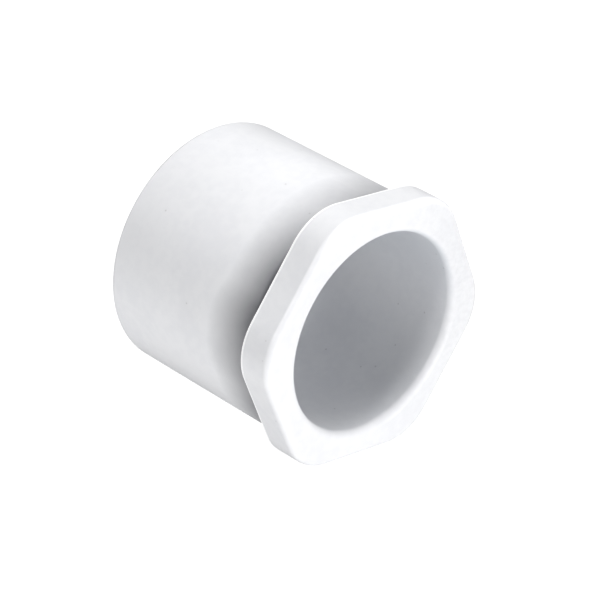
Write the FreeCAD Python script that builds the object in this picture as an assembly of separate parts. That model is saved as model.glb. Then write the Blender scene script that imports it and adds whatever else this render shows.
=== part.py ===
import FreeCAD, Part
import math
import os

# Reducing coupling of the spigot-by-socket kind (a hexagon-headed bushing), moulded in one piece.
# The plain spigot is glued into a 1-1/4 inch fitting, and the socket takes a 1 inch pipe.
# Frame: the bore's axis is X and points out of the socket's mouth. X = 0 is the shoulder, where
# the head meets the spigot. Z is up, and the part lies on one flat of its head.

# Pipe sizes: outside diameters of 1-1/4 inch and 1 inch iron-pipe-size pipe
LARGE_PIPE_DIAMETER = 42.16
SMALL_PIPE_DIAMETER = 33.40

# Spigot
SPIGOT_LENGTH = 32.7
SPIGOT_END_ROUNDING = 0.5

# Hexagonal head
HEAD_THICKNESS = 6.1
HEAD_ACROSS_FLATS = 43.0
HEAD_CORNER_RADIUS = 9.8
HEAD_FRONT_ROUNDING = 1.2
HEAD_REAR_ROUNDING = 0.25
HEAD_SIDES = 6

# Socket and waterway
SOCKET_ALLOWANCE = 0.45
SOCKET_DEPTH = 28.6
SOCKET_LIP_ROUNDING = 1.3
WATERWAY_DIAMETER = 27.0
STOP_EDGE_ROUNDING = 0.3

# Worked out from the sizes above
SPIGOT_RADIUS = LARGE_PIPE_DIAMETER / 2
SOCKET_RADIUS = (SMALL_PIPE_DIAMETER + SOCKET_ALLOWANCE) / 2
WATERWAY_RADIUS = WATERWAY_DIAMETER / 2
FRONT_X = HEAD_THICKNESS
STOP_X = HEAD_THICKNESS - SOCKET_DEPTH
FREE_END_X = -SPIGOT_LENGTH

SAME_PLACE = 0.001
BORE_AXIS = FreeCAD.Vector(1, 0, 0)
PART_FILE = "parts/bushing_body.step"


def rod(radius, start_x, end_x):
    """A round rod on the bore's axis, between two planes."""
    return Part.makeCylinder(radius, end_x - start_x, FreeCAD.Vector(start_x, 0, 0), BORE_AXIS)


def edges_in_plane(shape, x):
    """Every edge that lies in the plane at x, square to the bore's axis."""
    return [edge for edge in shape.Edges
            if abs(edge.BoundBox.XMin - x) < SAME_PLACE and abs(edge.BoundBox.XMax - x) < SAME_PLACE]


def rim(shape, x, radius):
    """The round edges of one radius in the plane at x."""
    return [edge for edge in edges_in_plane(shape, x)
            if abs(edge.BoundBox.ZMax - radius) < SAME_PLACE]


def hexagon_prism():
    """The head's block, with two sides level and the six edges along the bore still sharp."""
    corner_reach = HEAD_ACROSS_FLATS / 2 / math.cos(math.pi / HEAD_SIDES)
    corners = []
    for side in range(HEAD_SIDES):
        angle = 2 * math.pi * side / HEAD_SIDES
        corners.append(FreeCAD.Vector(0, corner_reach * math.cos(angle), corner_reach * math.sin(angle)))
    outline = Part.makePolygon(corners + corners[:1])
    return Part.Face(outline).extrude(BORE_AXIS * HEAD_THICKNESS)


def head():
    """The hexagonal head: large round corners, a soft front edge and a nearly sharp rear edge."""
    block = hexagon_prism()
    corner_edges = [edge for edge in block.Edges if edge.BoundBox.XLength > HEAD_THICKNESS / 2]
    block = block.makeFillet(HEAD_CORNER_RADIUS, corner_edges)
    block = block.makeFillet(HEAD_FRONT_ROUNDING, edges_in_plane(block, FRONT_X))
    return block.makeFillet(HEAD_REAR_ROUNDING, edges_in_plane(block, 0))


def spigot():
    """The plain round spigot, its free end rounded off, reaching through the head."""
    body = rod(SPIGOT_RADIUS, FREE_END_X, FRONT_X / 2)
    return body.makeFillet(SPIGOT_END_ROUNDING, rim(body, FREE_END_X, SPIGOT_RADIUS))


def hollow(body):
    """Cut the socket down to its pipe stop and the narrower waterway behind it."""
    body = body.cut(rod(SOCKET_RADIUS, STOP_X, FRONT_X + 1))
    body = body.cut(rod(WATERWAY_RADIUS, FREE_END_X - 1, STOP_X + 1))
    body = body.makeFillet(SOCKET_LIP_ROUNDING, rim(body, FRONT_X, SOCKET_RADIUS))
    body = body.makeFillet(STOP_EDGE_ROUNDING, rim(body, STOP_X, WATERWAY_RADIUS))
    return body.makeFillet(SPIGOT_END_ROUNDING, rim(body, FREE_END_X, WATERWAY_RADIUS))


def bushing_body():
    """The whole moulding as one solid."""
    return hollow(head().fuse(spigot()).removeSplitter())


os.makedirs("parts", exist_ok=True)
moulding = bushing_body()
print("valid", moulding.isValid(), "solids", len(moulding.Solids), "volume mm3", round(moulding.Volume, 1))
moulding.Solids[0].exportStep(PART_FILE)
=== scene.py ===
import math

import bpy
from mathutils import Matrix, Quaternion, Vector


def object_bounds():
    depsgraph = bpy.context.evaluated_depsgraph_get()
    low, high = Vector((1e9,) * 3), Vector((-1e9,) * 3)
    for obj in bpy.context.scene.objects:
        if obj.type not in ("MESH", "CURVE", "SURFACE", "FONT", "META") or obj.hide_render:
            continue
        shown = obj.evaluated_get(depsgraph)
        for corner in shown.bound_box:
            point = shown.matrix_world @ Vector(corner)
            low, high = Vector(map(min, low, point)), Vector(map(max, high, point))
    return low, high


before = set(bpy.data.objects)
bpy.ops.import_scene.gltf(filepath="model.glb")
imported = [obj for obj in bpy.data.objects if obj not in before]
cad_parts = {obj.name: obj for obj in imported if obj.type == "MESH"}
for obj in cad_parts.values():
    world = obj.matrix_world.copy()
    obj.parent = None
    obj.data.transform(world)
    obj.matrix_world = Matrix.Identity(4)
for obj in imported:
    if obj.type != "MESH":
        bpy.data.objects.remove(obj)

# A one-piece reducing coupling in white rigid plastic, lying on one side of its head.
# Lengths are metres and angles are degrees, unless a name says otherwise.

BODY_NODE = "bushing_body"
MM = 0.001

# Camera: the direction it looks from, its roll, its distance, its lens and its aim past the middle
CAMERA_AZIMUTH = 43.01
CAMERA_ELEVATION = 24.68
CAMERA_ROLL = 7.85
CAMERA_DISTANCE = 0.4735
CAMERA_LENS_MM = 180.6
SENSOR_WIDTH_MM = 36.0
AIM_RIGHT = 0.00064
AIM_UP = -0.00127

# Light table and room
FLOOR_SIZE = 3.0
FLOOR_GLOW = 0.9
FLOOR_GREY = 0.2
FLOOR_ROUGHNESS = 0.9
WORLD_STRENGTH = 0.02

# Softboxes: name, azimuth, elevation, diameter, watts
LIGHT_DISTANCE = 0.8
SOFTBOXES = [
    ("overhead", 180, 80, 0.43, 2.4),
    ("overhead_rear", -150, 76, 0.43, 3.7),
    ("overhead_right", 150, 65, 0.43, 1.0),
    ("left_fill", 4, 28, 0.196, 2.2),
    ("front", 97, 6, 0.112, 3.6),
]

# Colours
WHITE = (1, 1, 1, 1)
PLASTIC_WHITE = (0.85, 0.855, 0.874, 1)
PLASTIC_GREYER = (0.812, 0.818, 0.842, 1)
# Paler white of the painted highlight on the head's rear edge
HIGHLIGHT_WHITE = (0.97, 0.97, 0.98, 1)
SPECK_COLOUR = (0.22, 0.21, 0.2, 1)
# Dark colour of the painted shades and the painted shadow
SHADE_COLOUR = (0.03, 0.03, 0.04, 1)
# Bluish colour of the painted shade in the socket
SOCKET_SHADE_COLOUR = (0.47, 0.535, 0.6, 1)

# Sizes of the part that the painted tones follow
SPIGOT_RADIUS = 21.08 * MM
SPIGOT_LENGTH = 32.7 * MM
SOCKET_RADIUS = 16.925 * MM
SOCKET_DEPTH = 28.6 * MM
HEAD_THICKNESS = 6.1 * MM
HEAD_LIP = 1.3 * MM
STOP_X = HEAD_THICKNESS - SOCKET_DEPTH

# Where a tone fades in: along the bore's axis, or by distance from it
FRONT_SPAN = (HEAD_THICKNESS - HEAD_LIP, HEAD_THICKNESS)
SKIN_DEPTH = 0.3 * MM
WALL_INNER_SPAN = (SPIGOT_RADIUS - SKIN_DEPTH, SPIGOT_RADIUS - SKIN_DEPTH / 2)
WALL_OUTER_SPAN = (SPIGOT_RADIUS + SKIN_DEPTH / 5, SPIGOT_RADIUS + SKIN_DEPTH / 2)
HEAD_SIDE_SPAN = (SPIGOT_RADIUS + SKIN_DEPTH / 3, SPIGOT_RADIUS + SKIN_DEPTH)

# Cloudy tone: noise scales per metre, and the spans of noise that are used
CLOUD_SCALE = 90
CLOUD_DETAIL = 3
FINE_DETAIL = 2
CLOUD_SPAN = (0.35, 0.7)
NOISE_SPAN = (0.3, 0.7)
MOTTLE_SCALE = 650
MOTTLE_SHARE = 0.35

# Head: the painted highlight line on its rear edge, and the painted shade on its upper sides
EDGE_WIDTH = 0.6 * MM
EDGE_HIGHLIGHT_GLOW = 0.14
HEAD_SIDE_SHADE = 0.055

# Free end: a painted shade line round its rim, and painted shade on the upper wall near it
RIM_WIDTH = 0.9 * MM
RIM_SHADE = 0.2
RIM_SPAN = (SPIGOT_RADIUS - 2 * RIM_WIDTH, SPIGOT_RADIUS - RIM_WIDTH / 2)
GREY_LENGTH = 20 * MM
GREY_SHADE = 0.06
GREY_HEIGHT_SPAN = (-0.1 * SPIGOT_RADIUS, 0.4 * SPIGOT_RADIUS)

# Socket: painted bluish shade on its wall, most of it above
SOCKET_SHADE_ABOVE = 0.3
SOCKET_SHADE_BELOW = 0.02
SOCKET_WALL_SPAN = (SOCKET_RADIUS + 0.1 * HEAD_LIP, SOCKET_RADIUS + 0.6 * HEAD_LIP)
SOCKET_STOP_SPAN = (STOP_X - 3 * MM, STOP_X)
SOCKET_HEIGHT_SPAN = (-0.2 * SOCKET_RADIUS, 0.8 * SOCKET_RADIUS)

# Spigot's root: the painted shadow band's reach, and its cover on the dark side, the lighter side and below
ROOT_BAND_LENGTH = 8.6 * MM
ROOT_CORNER_REACH = 1.6 * MM
ROOT_LINE_WIDTH = 1.2 * MM
ROOT_LINE_SHADE = 0.16
ROOT_SHADE_MOST = 0.86
ROOT_SHADE_LEAST = 0.5
ROOT_SHADE_BELOW = 0.82
ROOT_SIDE_SPAN = (0.3, 1)
ROOT_CORNER_SPAN = (0.9, 1)
ROOT_HEIGHT_SPAN = (-0.3 * SPIGOT_RADIUS, 0.5 * SPIGOT_RADIUS)
ROOT_PATCHES = (0.95, 1.03)
SHOULDER_MARGIN = 0.02 * MM

# Front face: painted shade on one side, less of it below, broken up by grain
FACE_SHADE = 0.11
FACE_SIDE_SPAN = (-0.2 * SPIGOT_RADIUS, SPIGOT_RADIUS)
FACE_SHARE_BELOW = 0.5
FACE_GRAIN_LEAST = 0.5

# Specks: cells per metre, radius in cells, share of the cells that hold one
SMALL_SPECKS = (300, 0.07, 0.6)
LARGE_SPECKS = (110, 0.045, 0.35)
SPECK_STRENGTH = 0.28
SPECK_CORE = 0.3

# Skin: noise scales per metre, roughness and relief
HAIRLINES_ACROSS = 1500
HAIRLINES_ALONG = 60
HAIRLINE_SPAN = (0.55, 0.75)
GRAIN_SCALE = 1400
ROUGHNESS_LOW = 0.3
ROUGHNESS_HIGH = 0.4
HAIRLINE_ROUGHNESS = 0.06
HAIRLINE_RELIEF = 0.4
FRONT_ROUGHNESS = 0.15
BUMP_DEPTH = 0.01 * MM
BUMP_STRENGTH = 0.5

# Colour sockets of the Mix node, by number
MIX_FACTOR = 0
MIX_FIRST = 6
MIX_SECOND = 7
MIX_RESULT = 2

cad_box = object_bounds()


def from_angles(azimuth, elevation):
    """The unit vector towards a viewer: azimuth 0 looks along +Y, and 90 along -X."""
    a = math.radians(azimuth)
    e = math.radians(elevation)
    return Vector((math.sin(a) * math.cos(e), -math.cos(a) * math.cos(e), math.sin(e)))


def middle(box):
    low, high = box
    return (low + high) / 2


def facing(back):
    """The rotation of a camera or a light that looks against the vector back."""
    return (-back).to_track_quat("-Z", "Y")


def make_camera(target):
    """A long lens, rolled a little, aimed close to the object's middle."""
    data = bpy.data.cameras.new("camera")
    data.lens = CAMERA_LENS_MM
    data.sensor_width = SENSOR_WIDTH_MM
    camera = bpy.data.objects.new("camera", data)
    back = from_angles(CAMERA_AZIMUTH, CAMERA_ELEVATION)
    turned = facing(back) @ Quaternion((0, 0, 1), math.radians(CAMERA_ROLL))
    right = turned @ Vector((1, 0, 0))
    up = turned @ Vector((0, 1, 0))
    camera.rotation_mode = "QUATERNION"
    camera.rotation_quaternion = turned
    camera.location = target + right * AIM_RIGHT + up * AIM_UP + back * CAMERA_DISTANCE
    bpy.context.collection.objects.link(camera)
    bpy.context.scene.camera = camera


def make_floor(height):
    """A glowing white table top, which lights the object from below and isn't seen in reflections."""
    half = FLOOR_SIZE / 2
    mesh = bpy.data.meshes.new("floor")
    corners = [(-half, -half, height), (half, -half, height), (half, half, height), (-half, half, height)]
    mesh.from_pydata(corners, [], [(0, 1, 2, 3)])
    floor = bpy.data.objects.new("floor", mesh)
    bpy.context.collection.objects.link(floor)
    material = bpy.data.materials.new("light_table")
    material.use_nodes = True
    shader = material.node_tree.nodes["Principled BSDF"]
    shader.inputs["Base Color"].default_value = (FLOOR_GREY, FLOOR_GREY, FLOOR_GREY, 1)
    shader.inputs["Roughness"].default_value = FLOOR_ROUGHNESS
    shader.inputs["Emission Color"].default_value = WHITE
    shader.inputs["Emission Strength"].default_value = FLOOR_GLOW
    mesh.materials.append(material)
    floor.visible_glossy = False


def make_softbox(name, target, azimuth, elevation, diameter, watts):
    """A round lamp aimed at the target, which the camera doesn't see."""
    data = bpy.data.lights.new(name, "AREA")
    data.shape = "DISK"
    data.size = diameter
    data.energy = watts
    light = bpy.data.objects.new(name, data)
    back = from_angles(azimuth, elevation)
    light.location = target + back * LIGHT_DISTANCE
    light.rotation_mode = "QUATERNION"
    light.rotation_quaternion = facing(back)
    light.visible_camera = False
    bpy.context.collection.objects.link(light)


def make_world():
    """A dim, even room."""
    world = bpy.data.worlds.new("world")
    world.use_nodes = True
    background = world.node_tree.nodes["Background"]
    background.inputs["Color"].default_value = WHITE
    background.inputs["Strength"].default_value = WORLD_STRENGTH
    bpy.context.scene.world = world


def add(tree, kind, inputs, **settings):
    """Add one node. An input that is another node's socket is linked; any other is set."""
    node = tree.nodes.new(kind)
    for name, value in settings.items():
        setattr(node, name, value)
    for name, value in inputs.items():
        if isinstance(value, bpy.types.NodeSocket):
            tree.links.new(value, node.inputs[name])
        else:
            node.inputs[name].default_value = value
    return node


def math_node(tree, operation, first, second):
    return add(tree, "ShaderNodeMath", {0: first, 1: second}, operation=operation).outputs[0]


def times(tree, first, *others):
    """The product of two or more values."""
    for other in others:
        first = math_node(tree, "MULTIPLY", first, other)
    return first


def noise(tree, place, scale, detail):
    inputs = {"Vector": place, "Scale": scale, "Detail": detail}
    return add(tree, "ShaderNodeTexNoise", inputs).outputs["Fac"]


def ramp(tree, value, low, high, low_out, high_out, curve="SMOOTHSTEP"):
    """A value that runs from low_out to high_out as the input runs from low to high."""
    inputs = {"Value": value, "From Min": low, "From Max": high, "To Min": low_out, "To Max": high_out}
    return add(tree, "ShaderNodeMapRange", inputs, interpolation_type=curve).outputs["Result"]


def mix_colour(tree, share, first, second):
    """The first colour, covered by the second in the given share."""
    node = add(tree, "ShaderNodeMix", {}, data_type="RGBA")
    for number, value in ((MIX_FACTOR, share), (MIX_FIRST, first), (MIX_SECOND, second)):
        if isinstance(value, bpy.types.NodeSocket):
            tree.links.new(value, node.inputs[number])
        else:
            node.inputs[number].default_value = value
    return node.outputs[MIX_RESULT]


def axial_lines(tree, split):
    """Noise drawn out along the bore's axis."""
    x = times(tree, split.outputs["X"], HAIRLINES_ALONG)
    y = times(tree, split.outputs["Y"], HAIRLINES_ACROSS)
    z = times(tree, split.outputs["Z"], HAIRLINES_ACROSS)
    stretched = add(tree, "ShaderNodeCombineXYZ", {"X": x, "Y": y, "Z": z}).outputs[0]
    return noise(tree, stretched, 1, FINE_DETAIL)


def specks(tree, place, cells_per_metre, speck_radius, share):
    """Sparse round specks: 1 inside a speck and 0 outside."""
    cells = add(tree, "ShaderNodeTexVoronoi", {"Vector": place, "Scale": cells_per_metre})
    spot = ramp(tree, cells.outputs["Distance"], speck_radius * SPECK_CORE, speck_radius, 1, 0)
    chosen = add(tree, "ShaderNodeSeparateColor", {"Color": cells.outputs["Color"]}).outputs[0]
    return times(tree, spot, math_node(tree, "LESS_THAN", chosen, share))


def outer_skin(tree, radius):
    """1 on the spigot's outer wall and 0 well inside it or outside it."""
    outside = ramp(tree, radius, *WALL_INNER_SPAN, 0, 1)
    inside = ramp(tree, radius, *WALL_OUTER_SPAN, 1, 0)
    return times(tree, outside, inside)


def head_side(tree, radius):
    """1 where the head stands out past the spigot."""
    return ramp(tree, radius, *HEAD_SIDE_SPAN, 0, 1)


def root_painted_shadow(tree, split, radius, clouds):
    """Painted shadow: the dark band's cover round the spigot's root, most against the head and on one side.
    """
    along = split.outputs["X"]
    side = math_node(tree, "DIVIDE", split.outputs["Y"], -SPIGOT_RADIUS)
    reach = math_node(tree, "ADD", along, ramp(tree, side, *ROOT_CORNER_SPAN, 0, ROOT_CORNER_REACH))
    fade = ramp(tree, reach, -ROOT_BAND_LENGTH, 0, 0, 1, "LINEAR")
    amount = ramp(tree, side, *ROOT_SIDE_SPAN, ROOT_SHADE_LEAST, ROOT_SHADE_MOST)
    below = ramp(tree, split.outputs["Z"], *ROOT_HEIGHT_SPAN, ROOT_SHADE_BELOW, 1)
    patchy = ramp(tree, clouds, *NOISE_SPAN, *ROOT_PATCHES)
    line = ramp(tree, along, -ROOT_LINE_WIDTH, 0, 0, ROOT_LINE_SHADE)
    cover = math_node(tree, "ADD", times(tree, fade, amount, below, patchy), line)
    behind_head = math_node(tree, "LESS_THAN", along, SHOULDER_MARGIN)
    return times(tree, cover, outer_skin(tree, radius), behind_head)


def rear_edge_highlight(tree, along, radius):
    """1 on the head's rear edge, where the painted highlight and its glow go."""
    near_shoulder = ramp(tree, along, EDGE_WIDTH / 2, EDGE_WIDTH, 1, 0)
    return times(tree, near_shoulder, head_side(tree, radius))


def head_side_painted_shade(tree, split, radius):
    """Painted shade: a faint grey on the upper sides of the head."""
    behind_front = ramp(tree, split.outputs["X"], *FRONT_SPAN, 1, 0)
    upper = ramp(tree, split.outputs["Z"], 0, SPIGOT_RADIUS, 0, HEAD_SIDE_SHADE)
    return times(tree, head_side(tree, radius), behind_front, upper)


def free_end_painted_shade(tree, split, radius):
    """Painted shade: a thin grey line round the spigot's free end, and a faint grey on the upper wall near
    it.
    """
    along = split.outputs["X"]
    line = ramp(tree, along, -SPIGOT_LENGTH, -SPIGOT_LENGTH + RIM_WIDTH, RIM_SHADE, 0)
    outer = ramp(tree, radius, *RIM_SPAN, 0, 1)
    line = times(tree, line, outer)
    film = ramp(tree, along, -SPIGOT_LENGTH, -SPIGOT_LENGTH + GREY_LENGTH, GREY_SHADE, 0)
    above = ramp(tree, split.outputs["Z"], *GREY_HEIGHT_SPAN, 0, 1)
    return math_node(tree, "MAXIMUM", line, times(tree, film, above))


def socket_painted_shade(tree, split, radius):
    """Painted shade: a faint bluish grey on the socket's wall, most of it above."""
    inside = ramp(tree, radius, *SOCKET_WALL_SPAN, 1, 0)
    before_stop = ramp(tree, split.outputs["X"], *SOCKET_STOP_SPAN, 0, 1)
    height = split.outputs["Z"]
    amount = ramp(tree, height, *SOCKET_HEIGHT_SPAN, SOCKET_SHADE_BELOW, SOCKET_SHADE_ABOVE)
    return times(tree, inside, before_stop, amount)


def face_painted_shade(tree, split, grain):
    """Painted shade: a faint grainy grey on one side of the head's front face."""
    on_face = ramp(tree, split.outputs["X"], *FRONT_SPAN, 0, FACE_SHADE)
    side = ramp(tree, split.outputs["Y"], *FACE_SIDE_SPAN, 0, 1)
    upper = ramp(tree, split.outputs["Z"], -SPIGOT_RADIUS, 0, FACE_SHARE_BELOW, 1)
    return times(tree, on_face, side, upper, ramp(tree, grain, *NOISE_SPAN, FACE_GRAIN_LEAST, 1))


def white_plastic():
    """Rigid white moulded plastic: cloudy tone, painted shades, a painted highlight, specks, hairlines and a
    satin skin.
    """
    material = bpy.data.materials.new("white_rigid_plastic")
    material.use_nodes = True
    tree = material.node_tree
    shader = tree.nodes["Principled BSDF"]
    place = add(tree, "ShaderNodeTexCoord", {}).outputs["Object"]
    split = add(tree, "ShaderNodeSeparateXYZ", {"Vector": place})
    across = add(tree, "ShaderNodeCombineXYZ", {"Y": split.outputs["Y"], "Z": split.outputs["Z"]}).outputs[0]
    radius = add(tree, "ShaderNodeVectorMath", {0: across}, operation="LENGTH").outputs["Value"]
    clouds = noise(tree, place, CLOUD_SCALE, CLOUD_DETAIL)
    mottle = noise(tree, place, MOTTLE_SCALE, FINE_DETAIL)
    grain = noise(tree, place, GRAIN_SCALE, FINE_DETAIL)
    hairlines = axial_lines(tree, split)

    cloudy = ramp(tree, clouds, *CLOUD_SPAN, 0, 1)
    tone = math_node(tree, "ADD", cloudy, ramp(tree, mottle, *NOISE_SPAN, -MOTTLE_SHARE, MOTTLE_SHARE))
    colour = mix_colour(tree, tone, PLASTIC_WHITE, PLASTIC_GREYER)
    edge = rear_edge_highlight(tree, split.outputs["X"], radius)
    # Painted highlight on the rear edge, then painted shade on the head's upper sides, in the socket, on the
    # face, at the free end, and the painted shadow round the spigot's root
    colour = mix_colour(tree, edge, colour, HIGHLIGHT_WHITE)
    colour = mix_colour(tree, head_side_painted_shade(tree, split, radius), colour, SHADE_COLOUR)
    colour = mix_colour(tree, socket_painted_shade(tree, split, radius), colour, SOCKET_SHADE_COLOUR)
    colour = mix_colour(tree, face_painted_shade(tree, split, grain), colour, SHADE_COLOUR)
    colour = mix_colour(tree, free_end_painted_shade(tree, split, radius), colour, SHADE_COLOUR)
    colour = mix_colour(tree, root_painted_shadow(tree, split, radius, clouds), colour, SHADE_COLOUR)
    spots = math_node(tree, "MAXIMUM", specks(tree, place, *SMALL_SPECKS), specks(tree, place, *LARGE_SPECKS))
    colour = mix_colour(tree, times(tree, spots, SPECK_STRENGTH), colour, SPECK_COLOUR)

    rough = ramp(tree, clouds, *NOISE_SPAN, ROUGHNESS_LOW, ROUGHNESS_HIGH)
    rough = math_node(tree, "ADD", rough, ramp(tree, hairlines, *HAIRLINE_SPAN, 0, HAIRLINE_ROUGHNESS))
    front = ramp(tree, split.outputs["X"], *FRONT_SPAN, 0, FRONT_ROUGHNESS)
    rough = math_node(tree, "ADD", rough, front)
    height = math_node(tree, "ADD", grain, times(tree, hairlines, HAIRLINE_RELIEF))
    bump = add(tree, "ShaderNodeBump", {"Height": height, "Distance": BUMP_DEPTH, "Strength": BUMP_STRENGTH})

    # Painted highlight on the rear edge: a weak glow, added to the paler colour
    shader.inputs["Emission Color"].default_value = WHITE
    tree.links.new(times(tree, edge, EDGE_HIGHLIGHT_GLOW), shader.inputs["Emission Strength"])
    tree.links.new(colour, shader.inputs["Base Color"])
    tree.links.new(rough, shader.inputs["Roughness"])
    tree.links.new(bump.outputs["Normal"], shader.inputs["Normal"])
    return material


centre = middle(cad_box)
make_camera(centre)
make_floor(cad_box[0].z)
for name, azimuth, elevation, diameter, watts in SOFTBOXES:
    make_softbox(name, centre, azimuth, elevation, diameter, watts)
make_world()
bpy.context.scene.view_settings.view_transform = "Standard"

skin = white_plastic()
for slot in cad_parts[BODY_NODE].material_slots:
    slot.material = skin
